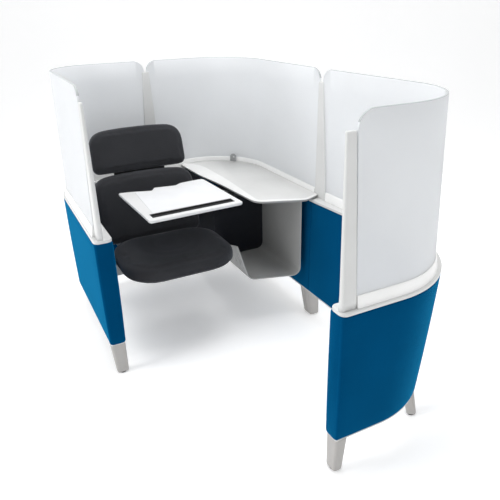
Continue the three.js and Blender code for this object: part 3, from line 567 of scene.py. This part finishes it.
def screen_strip(run):
    def section(_):
        slot = SCREEN_HALF + GAP
        floor = STRIP_TOP_Z - SCREEN_SLOT_DEPTH - GAP
        skirt = [(16 - 4 * math.sin(a), RAIL_TOP_Z + GAP + 20 * (1 - math.cos(a)))
                 for a in quarter()]
        profile = [*skirt, (9.5, STRIP_TOP_Z - 4), (8, STRIP_TOP_Z - 1), (slot + 0.8, STRIP_TOP_Z),
                   (slot, STRIP_TOP_Z - 1), (slot, floor), (-slot, floor), (-slot, STRIP_TOP_Z - 1),
                   (-slot - 0.8, STRIP_TOP_Z), (-8, STRIP_TOP_Z - 1), (-9.5, STRIP_TOP_Z - 4),
                   (-12, RAIL_TOP_Z + GAP)]
        return [(outwards(SCREEN_FOOT, d), SCREEN_HUBS, z) for d, z in profile]

    ends = run_ends(run, POST_FOOT["half"] + 0.5, END_POST_FOOT[1] + 0.5)
    mesh = sweep(f"strip_{run}", run, section, ends, SCREEN_HUBS)
    piece = finish_piece(f"strip_{run}", mesh, STRIP_PAINTED_HIGHLIGHT, "frame",
                         [f"screen_strip_{run}"])
    return edge_bevel(piece, 0.5, 40)


def screen_ends(run, end, margin):
    rear = SCREEN_JOINT_CLEARANCE["rear"] - margin
    right = SCREEN_JOINT_CLEARANCE["right"] - margin
    return {
        "left": (LEFT_END_Y + end, REAR_JOINT_X - rear),
        "rear": (REAR_JOINT_X + rear, RIGHT_JOINT_Y + right),
        "front": (RIGHT_JOINT_Y - right, FRONT_END_X + end),
    }[run]


def screen_rows(run, margin=0.0):
    """A sheet with round upper corners and eased edges, larger by margin on every side."""
    radius = SCREEN_TOP_Z - POST_TOP_Z
    half = SCREEN_HALF + margin
    foot_ends = screen_ends(run, END_POST_FOOT[1] + 0.5, margin)
    head_ends = screen_ends(run, END_POST_HEAD[1] + 0.5, margin)
    low = STRIP_TOP_Z - SCREEN_SLOT_DEPTH - margin
    listed = stations(run, head_ends, SCREEN_HUBS, radius, radius, corner=12)
    rows = []
    for station, drop in listed:
        top = SCREEN_TOP_Z - drop
        heights = [low, STRIP_TOP_Z] + [between(STRIP_TOP_Z, top - 2, i / 6) for i in range(1, 7)]
        column = []
        for distance, levels in ((half, [*heights, top - 0.6]), (0, [top]),
                                 (-half, [top - 0.6, *reversed(heights)])):
            for z in levels:
                ease = 1.6 if z == top - 0.6 else 0
                offset = distance - math.copysign(ease, distance) if distance else 0
                t = max(0.0, (z - STRIP_TOP_Z) / (SCREEN_TOP_Z - STRIP_TOP_Z))
                foot = plan_point(run, outwards(SCREEN_FOOT, offset), SCREEN_HUBS, foot_ends,
                                  station)
                head = plan_point(run, outwards(SCREEN_HEAD, offset), SCREEN_HUBS, head_ends,
                                  station)
                column.append(Vector((*between(foot, head, t), z)))
        rows.append(column)
    return rows


def screen(run):
    """A frosted sheet whose ends stand in the posts at the joints."""
    piece = finish_piece(f"frosted_{run}", loft(f"frosted_{run}", screen_rows(run)),
                         MATERIALS["frosted_screen"], "frame", [f"screen_{run}"])
    piece.data.materials.append(SCREEN_EDGE)
    for polygon in piece.data.polygons:
        if polygon.normal.z > 0.3:
            polygon.material_index = 1
    return edge_bevel(piece, 0.6, 50)


def rounded_outline(width, depth, radius):
    """Anticlockwise outline of a rectangle with rounded corners, round the origin."""
    points = []
    for side_x, side_y, start in ((1, -1, -90), (1, 1, 0), (-1, 1, 90), (-1, -1, 180)):
        for i in range(CORNER_STEPS + 1):
            angle = math.radians(start + 90 * i / CORNER_STEPS)
            points.append((side_x * (width / 2 - radius) + radius * math.cos(angle),
                           side_y * (depth / 2 - radius) + radius * math.sin(angle)))
    return points


def soft_polygon(corners):
    """Outline through corners [x, y, length rounded off along each side]; 0 keeps one sharp."""
    points = []
    for i, (x, y, length) in enumerate(corners):
        corner = Vector((x, y))
        if length == 0:
            points.append(corner)
            continue
        before = Vector(corners[i - 1][:2])
        after = Vector(corners[(i + 1) % len(corners)][:2])
        first = corner + (before - corner).normalized() * length
        last = corner + (after - corner).normalized() * length
        for t in (k / BEND_STEPS for k in range(BEND_STEPS + 1)):
            points.append(first * (1 - t) ** 2 + corner * 2 * t * (1 - t) + last * t * t)
    return points


def shrunk(outline, distance):
    """Moves an anticlockwise outline's points inwards, square to the line of their neighbours."""
    moved = []
    for i, point in enumerate(outline):
        along = (outline[(i + 1) % len(outline)] - outline[i - 1]).normalized()
        moved.append(point + Vector((-along.y, along.x)) * distance)
    return moved


def slotted(mesh, runs):
    """Cuts the slots for the ends of the screens out of a post's mesh."""
    scene = bpy.context.scene
    worker = bpy.data.objects.new("post_worker", mesh)
    scene.collection.objects.link(worker)
    cutters = []
    for run in runs:
        cutter = bpy.data.objects.new("slot_cutter", loft("slot_cutter", screen_rows(run, GAP)))
        scene.collection.objects.link(cutter)
        cut = worker.modifiers.new("slot", "BOOLEAN")
        cut.operation = "DIFFERENCE"
        cut.solver = "EXACT"
        cut.object = cutter
        cutters.append(cutter)
    graph = bpy.context.evaluated_depsgraph_get()
    made = bpy.data.meshes.new_from_object(worker.evaluated_get(graph))
    for used in (worker, *cutters):
        bpy.data.objects.remove(used)
    return made


def post(name, centre_foot, centre_head, size_foot, size_head, node, runs=()):
    """A tall tapering blade with a flared foot, a flat face each side and a domed head."""
    rows = []
    levels = [(RAIL_TOP_Z + GAP, 0, 0), (STRIP_TOP_Z - 8, 0, 0), (STRIP_TOP_Z + 14, 0.03, 1.5)]
    levels += [(between(STRIP_TOP_Z + 14, POST_TOP_Z - 6, i / 8), None, 1.5) for i in range(1, 9)]
    levels += [(POST_TOP_Z - 3, None, 2.6), (POST_TOP_Z - 0.8, None, 4.6), (POST_TOP_Z, None, 7.5)]
    for z, given, shrink in levels:
        t = (z - STRIP_TOP_Z) / (POST_TOP_Z - STRIP_TOP_Z) if given is None else given
        width, depth = (between(size_foot[i], size_head[i], t) - shrink for i in (0, 1))
        x, y = between(centre_foot, centre_head, t)
        corner = 0.42 * min(width, depth)
        rows.append([Vector((x + px, y + py, z))
                     for px, py in rounded_outline(width, depth, corner)])
    mesh = slotted(loft(name, rows), runs) if runs else loft(name, rows)
    piece = finish_piece(name, mesh, MATERIALS["white_trim"], "frame", [node])
    if runs:
        piece.data.set_sharp_from_angle(angle=math.radians(35))


def build_posts():
    foot_end, head_end = (sum(END_POST_FOOT) / 2, sum(END_POST_HEAD) / 2)
    foot_long = END_POST_FOOT[1] - END_POST_FOOT[0]
    head_long = END_POST_HEAD[1] - END_POST_HEAD[0]
    thick, thin = POST_FOOT["thickness"], POST_HEAD["thickness"]
    post("blade_left_end", (SCREEN_FOOT["left"] + 8, foot_end), (SCREEN_HEAD["left"], head_end),
         (thick, foot_long), (thin, head_long), "post_left_end")
    post("blade_rear", (REAR_JOINT_X, SCREEN_FOOT["rear"]), (REAR_JOINT_X, SCREEN_HEAD["rear"]),
         (2 * POST_FOOT["half"], thick), (2 * POST_HEAD["half"], thin), "post_rear",
         ("left", "rear"))
    post("blade_right", (SCREEN_FOOT["right"], RIGHT_JOINT_Y),
         (SCREEN_HEAD["right"], RIGHT_JOINT_Y), (thick, 2 * POST_FOOT["half"]),
         (thin, 2 * POST_HEAD["half"]), "post_right", ("rear", "front"))
    post("blade_front_end", (FRONT_END_X + foot_end, SCREEN_FOOT["front"]),
         (FRONT_END_X + head_end, SCREEN_HEAD["front"]), (foot_long, thick), (head_long, thin),
         "post_front_end")


# ---------- cushions ----------


def resample(outline, count):
    """The closed outline as count evenly spaced points."""
    points = np.array(list(outline) + [outline[0]], dtype=float)
    steps = np.linalg.norm(np.diff(points, axis=0), axis=1)
    along = np.concatenate([[0], np.cumsum(steps)])
    wanted = np.linspace(0, along[-1], count, endpoint=False)
    return np.column_stack([np.interp(wanted, along, points[:, i]) for i in (0, 1)])


def crowned_pad(name, outline_of, thickness, levels, to_place):
    """A closed pad from rings; levels are (share of the thickness, inset), base to crown."""
    rows = []
    for share, inset in levels:
        ring = resample(outline_of(inset), PAD_RING_POINTS)
        rows.append([to_place @ Vector((x, y, thickness * share)) for x, y in ring])
    return loft(name, rows)


def inflate(mesh):
    """Swells a closed pad as cloth under pressure. Points move outwards, by PAD_SWELL at most."""
    worker = bpy.data.objects.new("pad_worker", mesh)
    scene = bpy.context.scene
    scene.collection.objects.link(worker)
    remesh = worker.modifiers.new("remesh", "REMESH")
    remesh.mode = "VOXEL"
    remesh.voxel_size = PAD_VOXEL
    graph = bpy.context.evaluated_depsgraph_get()
    dense = bpy.data.meshes.new_from_object(worker.evaluated_get(graph))
    worker.modifiers.clear()
    worker.data = dense
    start = np.array([v.co[:] for v in dense.vertices])
    cloth = worker.modifiers.new("cloth", "CLOTH")
    cloth.settings.quality = 4
    cloth.settings.mass = 0.3
    cloth.settings.tension_stiffness = 12
    cloth.settings.compression_stiffness = 12
    cloth.settings.shear_stiffness = 4
    cloth.settings.bending_stiffness = 0.4
    cloth.settings.use_pressure = True
    cloth.settings.uniform_pressure_force = PAD_PRESSURE
    cloth.settings.effector_weights.gravity = 0
    cloth.collision_settings.use_collision = False
    cloth.collision_settings.use_self_collision = False
    cloth.point_cache.frame_start = 1
    cloth.point_cache.frame_end = PAD_FRAMES
    for step in range(1, PAD_FRAMES + 1):
        scene.frame_set(step)
    graph = bpy.context.evaluated_depsgraph_get()
    swollen = worker.evaluated_get(graph).to_mesh()
    ended = np.array([v.co[:] for v in swollen.vertices])
    worker.evaluated_get(graph).to_mesh_clear()
    moved = ended - start
    normals = np.array([v.normal[:] for v in dense.vertices])
    inwards = np.minimum(0.0, np.sum(moved * normals, axis=1, keepdims=True))
    moved = moved - inwards * normals
    length = np.maximum(np.linalg.norm(moved, axis=1, keepdims=True), 1e-9)
    start = start + moved * np.minimum(1.0, PAD_SWELL / length)
    worker.modifiers.clear()
    scene.frame_set(1)
    bpy.data.objects.remove(worker)
    return dense, start


def relax(mesh, points):
    """Evens out the small steps that a voxel remesh leaves."""
    edges = np.array([e.vertices[:] for e in mesh.edges])
    degree = np.zeros(len(points))
    np.add.at(degree, edges[:, 0], 1)
    np.add.at(degree, edges[:, 1], 1)
    for turn in range(2 * RELAX_ROUNDS):
        total = np.zeros_like(points)
        np.add.at(total, edges[:, 0], points[edges[:, 1]])
        np.add.at(total, edges[:, 1], points[edges[:, 0]])
        step = RELAX_STEP if turn % 2 == 0 else RELAX_BACK_STEP
        points = points + step * (total / degree[:, None] - points)
    return points


def add_cushion(name, mesh, node, body, shape=None):
    mesh.transform(TO_ROW)
    dense, points = inflate(mesh)
    points = relax(dense, points)
    if shape is not None:
        points = shape(points)
    for vertex, point in zip(dense.vertices, points):
        vertex.co = point
    dense.name = name
    dense.materials.clear()
    piece = finish_piece(name, dense, MATERIALS["charcoal_fabric"], body, [node],
                         to_row=Matrix.Identity(4))
    smoother = piece.modifiers.new("smoother", "SUBSURF")
    smoother.levels = smoother.render_levels = 1
    return piece


def welt(name, cushion, path, radius, body):
    """A sewn welt: a thin round cord of the same cloth pressed onto the cushion along a path."""
    tree = BVHTree.FromPolygons([v.co.copy() for v in cushion.data.vertices],
                                [tuple(p.vertices) for p in cushion.data.polygons])
    found = [tree.find_nearest(Vector(point)) for point in path]
    centres = [hit[0] + hit[1] * radius * WELT_LIFT for hit in found]
    count = len(centres)
    for _ in range(3):
        centres = [(centres[i - 1] + centres[i] * 2 + centres[(i + 1) % count]) / 4
                   for i in range(count)]
    sides = WELT_SIDES
    points = []
    for i, centre in enumerate(centres):
        along = (centres[(i + 1) % count] - centres[i - 1]).normalized()
        out = (found[i][1] - along * found[i][1].dot(along)).normalized()
        across = along.cross(out)
        for k in range(sides):
            angle = 2 * math.pi * k / sides
            points.append(centre + (out * math.cos(angle) + across * math.sin(angle)) * radius)
    faces = []
    for i in range(count):
        for k in range(sides):
            a, b = i * sides + k, i * sides + (k + 1) % sides
            c, d = (i + 1) % count * sides + k, (i + 1) % count * sides + (k + 1) % sides
            faces.append((a, b, d, c))
    mesh = outward_mesh(name, points, faces)
    return finish_piece(name, mesh, MATERIALS["charcoal_fabric"], body,
                        to_row=Matrix.Identity(4))


SEAT = {"x": -179, "width": 540, "front": 5, "rear": 450, "bottom": 402, "top": 478, "corner": 150}


def seat_outline(inset):
    depth = SEAT["rear"] - SEAT["front"] - 2 * inset
    outline = rounded_outline(SEAT["width"] - 2 * inset, depth, SEAT["corner"] - inset)
    return [(x + SEAT["x"], y + (SEAT["front"] + SEAT["rear"]) / 2) for x, y in outline]


def build_seat():
    levels = [(0, 20), (0.04, 13), (0.14, 7), (0.3, 3), (0.5, 2), (0.68, 4), (0.82, 11),
              (0.92, 23), (0.99, 42)]
    base = Matrix.Translation((0, 0, SEAT["bottom"] + 2))
    thickness = SEAT["top"] - SEAT["bottom"] - 6
    mesh = crowned_pad("seat_pad", seat_outline, thickness, levels, base)
    middle = np.array([SEAT["x"] / 1000, (228 + CENTRING_Y) / 1000])

    def shape(points):
        top = (points[:, 2] - SEAT["bottom"] / 1000) / 0.076
        weight = np.clip((top - 0.55) / 0.4, 0, 1) ** 2
        across = (points[:, 0] - middle[0]) / 0.27
        along = (points[:, 1] - middle[1]) / 0.2225
        dish = 0.008 * np.exp(-(across ** 2) * 3.2 - (along - 0.2) ** 2 * 2.2)
        waterfall = 0.009 * np.clip(-along - 0.55, 0, 1) ** 1.5 / 0.3
        points = points.copy()
        points[:, 2] -= weight * (dish + waterfall)
        points[:, 2] = np.clip(points[:, 2], SEAT["bottom"] / 1000, (SEAT["top"] + 3) / 1000)
        return points

    seat = add_cushion("seat_pad", mesh, "seat_cushion", "frame", shape)
    path = [(x / 1000, (y + CENTRING_Y) / 1000, (SEAT["bottom"] + 16) / 1000)
            for x, y in resample(seat_outline(0), SEAM_POINTS)]
    welt("seat_welt", seat, path, 0.0019, "frame")


def back_matrix():
    return Matrix.Translation(BACK_HINGE) @ Matrix.Rotation(-BACK_LEAN, 4, "X")


def build_back():
    pads = (
        ("back_pad", "back_cushion", 532, -10, 348, 15, 0, 80, 90, 46),
        ("head_pad", "headrest_cushion", 492, 350, 575, 12, 12, 68, 92, 42),
    )
    for name, node, width, low, high, arch, front, thickness, top_cut, low_cut in pads:
        corners = [(-width / 2, low, low_cut), (width / 2, low, low_cut),
                   (width / 2, high - arch, top_cut), (width / 6, high, width / 7),
                   (-width / 6, high, width / 7), (-width / 2, high - arch, top_cut)]

        def outline_of(inset):
            return [(p.x, p.y) for p in shrunk(soft_polygon(corners), inset)]

        stand = (back_matrix() @ Matrix.Translation((0, front + thickness - 2, 0))
                 @ Matrix.Rotation(math.pi / 2, 4, "X"))
        levels = [(0, 14), (0.05, 9), (0.15, 5), (0.35, 3), (0.6, 3), (0.76, 5), (0.86, 9),
                  (0.94, 16), (0.99, 28)]
        mesh = crowned_pad(name, outline_of, thickness - 5, levels, stand)
        piece = add_cushion(name, mesh, node, "back")
        seam = [TO_ROW @ (stand @ Vector((x, y, thickness * 0.2)))
                for x, y in resample(outline_of(0), SEAM_POINTS)]
        welt(f"{name}_welt", piece, seam, 0.0018, "back")


# ---------- worksurface ----------

WORKSURFACE = {"bottom": 662.4, "top": 680.4, "rear_x": 123, "front_y": 12}
WALL_X = SCREEN_FOOT["right"] - 12 - 2 * GAP
WALL_Y = SCREEN_FOOT["rear"] - 12 - 2 * GAP

# Free edge of the worksurface, and where the sloping band along it meets the flat middle; the band
# and the upper edge are painted paler, a painted highlight for the light the slope catches.
FREE_EDGE = [(131, 630, 50), (162, 430, 80), (191, 69, 50), (418, -22, 16)]
BAND_EDGE = [(216, 800, 70), (225, 470, 90), (209, 83, 26), (414, -9, 12)]


def free_path(corners, rear_x, front_y, inset):
    """A path from the rear wall round the free side to the wall on the right."""
    closed = [(WALL_X, front_y, 0), (WALL_X, WALL_Y, 0), (rear_x, WALL_Y, 0), *corners]
    moved = shrunk(soft_polygon(closed), inset)[3:]
    return [(rear_x + inset, WALL_Y), *((p.x, p.y) for p in moved), (WALL_X, front_y + inset)]


def evenly(path, count):
    points = np.array(path, dtype=float)
    along = np.concatenate([[0], np.cumsum(np.linalg.norm(np.diff(points, axis=0), axis=1))])
    wanted = np.linspace(0, along[-1], count)
    return list(zip(np.interp(wanted, along, points[:, 0]), np.interp(wanted, along, points[:, 1])))


def wall_corner():
    hub = SCREEN_HUBS["rear"]
    angles = [math.radians(90 * i / 24) for i in range(25)]
    return [(hub[0] + abs(WALL_X - hub[0]) * math.cos(angle),
             hub[1] + abs(WALL_Y - hub[1]) * math.sin(angle)) for angle in angles]


def build_worksurface():
    """A board with a soft edge; towards the sitter its top slopes down in a band painted paler, a
    painted highlight for the light the slope catches.
    """
    bottom, top = WORKSURFACE["bottom"], WORKSURFACE["top"]
    rear_x, front_y = WORKSURFACE["rear_x"], WORKSURFACE["front_y"]
    edge = [(14, bottom), (6, bottom + 3), (1.2, bottom + 6), (0, bottom + 8), (0, top - 4.4),
            (0.5, top - 3.0), (1.8, top - 2.2), (3.4, top - 1.9)]
    rings = [(free_path(FREE_EDGE, rear_x, front_y, inset), z) for inset, z in edge]
    rings += [(free_path(BAND_EDGE, 150, front_y + 11, inset), top - 0.3 + z)
              for inset, z in ((0, 0), (1.5, 0.3))]
    rows = [[Vector((x, y, z)) for x, y in [*evenly(path, 150), *wall_corner()]]
            for path, z in rings]
    piece = finish_piece("work_board", loft("work_board", rows), MATERIALS["desk_white"], "frame",
                         ["worksurface"])
    piece.data.materials.append(PAINTED_HIGHLIGHT_BAND)
    piece.data.materials.append(BOARD_SIDE_PAINTED_SHADE)
    # The upper edge and sloping band take the painted highlight; the side and under-bevel take the
    # painted shade.
    count = len(rows[0])
    for polygon in piece.data.polygons:
        lowest = min(polygon.vertices) // count
        if len(polygon.vertices) == 4 and lowest < len(rings) - 2:
            polygon.material_index = 1 if lowest > 3 else 2
    return piece


# ---------- tablet ----------


def tablet_matrix():
    return Matrix.Translation(TABLET_CARRIER) @ Matrix.Rotation(TABLET_TURN, 4, "Z")


MAT_CORNERS = [(213, -140, 8), (214, 205, 24), (92, 198, 12), (58, 173, 8), (-46, 196, 9),
               (-76, 155, 8), (-152, 187, 16), (-181, -140, 8)]


def build_mat():
    """The slightly raised middle of the tablet's top, from the slot to the notched rear edge,
    painted a little lighter than the tray as painted light.
    """
    outline = soft_polygon(MAT_CORNERS)
    levels = ((0, 705.02), (1.5, 705.35), (4, 705.6))
    rows = [[Vector((p.x - 72, p.y, z)) for p in shrunk(outline, inset)] for inset, z in levels]
    mesh = loft("tablet_mat", rows)
    mesh.transform(tablet_matrix())
    return finish_piece("tablet_mat", mesh, MAT_PAINTED_LIGHT, "tablet")


# ---------- CAD nodes that stay ----------


def dress_cad_nodes():
    """Gives each CAD node its slot's material, the tray its own white, and eases the edges of the
    legs, glides, tray and cradle.
    """
    slots = {part["node"]: part["material_slot"] for part in frame["record"]["subparts"]}
    for name, node in NODES.items():
        material = TRAY_WHITE if name == "tablet_tray" else MATERIALS[slots[name]]
        if not node.material_slots:
            node.data.materials.append(material)
        for holder in node.material_slots:
            holder.material = material
        if name.startswith(("leg_", "tablet_tray", "bag_cradle", "cradle_back", "glide_")):
            edge_bevel(node, 1.2, 35)


# ---------- floor, light and camera ----------


def build_stage():
    """A pale floor that turns up into a backdrop far behind, so that no horizon shows."""
    radius, rear, width = 3.0, 7.0, 120.0
    profile = [(-60.0, 0.0), (rear - radius, 0.0)]
    for i in range(1, 13):
        angle = math.radians(90 * i / 12)
        profile.append((rear - radius + radius * math.sin(angle), radius * (1 - math.cos(angle))))
    profile.append((rear, 9.0))
    count = len(profile)
    points = [(x, y, z) for x in (-width / 2, width / 2) for y, z in profile]
    faces = [(i, count + i, count + i + 1, i + 1) for i in range(count - 1)]
    mesh = bpy.data.meshes.new("backdrop")
    mesh.from_pydata(points, [], faces)
    for polygon in mesh.polygons:
        polygon.use_smooth = True
    backdrop = bpy.data.objects.new("backdrop", mesh)
    backdrop.rotation_euler[2] = math.radians(-26.9)
    bpy.context.scene.collection.objects.link(backdrop)
    shader = Shader("studio_paper", (0.9, 0.9, 0.9), 0.85, Specular_IOR_Level=0.1,
                    Emission_Color=(1, 1, 1, 1), Emission_Strength=0.3)
    shader.color(shader.ramp(shader.noise(0.8, 2), (0.88, 0.88, 0.88), (0.92, 0.92, 0.92)))
    mesh.materials.append(shader.material)


def area_light(name, location, target, size, power):
    light = bpy.data.lights.new(name, "AREA")
    light.shape = "DISK"
    light.size = size
    light.energy = power
    lamp = bpy.data.objects.new(name, light)
    lamp.location = location
    lamp.rotation_euler = (Vector(target) - Vector(location)).to_track_quat("-Z", "Y").to_euler()
    bpy.context.scene.collection.objects.link(lamp)


def build_light():
    world = bpy.data.worlds.new("studio")
    bpy.context.scene.world = world
    world.use_nodes = True
    background = world.node_tree.nodes["Background"]
    background.inputs["Color"].default_value = (0.98, 0.99, 1.0, 1)
    background.inputs["Strength"].default_value = 0.52
    area_light("key", (-4.2, 0.3, 2.6), (0, 0, 0.6), 2.2, 85)
    area_light("top", (0.2, 0.2, 4.2), (0, 0, 0.5), 3.0, 90)
    area_light("fill", (2.4, -3.6, 2.2), (0, 0, 0.6), 3.0, 25)


def build_camera():
    yaw, pitch, roll = (math.radians(a) for a in (26.906, 23.75, -1.174))
    forward = Vector((math.sin(yaw) * math.cos(pitch), math.cos(yaw) * math.cos(pitch),
                      -math.sin(pitch)))
    right = Vector((math.cos(yaw), -math.sin(yaw), 0))
    up = right.cross(forward)
    rolled_right = right * math.cos(roll) + up * math.sin(roll)
    rolled_up = up * math.cos(roll) - right * math.sin(roll)
    data = bpy.data.cameras.new("camera")
    data.sensor_width = 36
    data.lens = 39.256
    data.shift_x = -0.00644
    data.shift_y = -0.0105
    data.dof.use_dof = False
    camera = bpy.data.objects.new("camera", data)
    turn = Matrix((rolled_right, rolled_up, -forward)).transposed().to_4x4()
    camera.matrix_world = Matrix.Translation((-0.922, -2.0775, 1.527)) @ turn
    bpy.context.scene.collection.objects.link(camera)
    bpy.context.scene.camera = camera


build_camera()
build_stage()
build_light()
bpy.context.scene.view_settings.view_transform = "Standard"
dress_cad_nodes()
for run_name in RUN_NAMES:
    fabric_panel(run_name)
    base_trim(run_name)
    cap_rail(run_name)
    screen_strip(run_name)
    screen(run_name)
build_posts()
build_seat()
build_back()
build_worksurface()
build_mat()
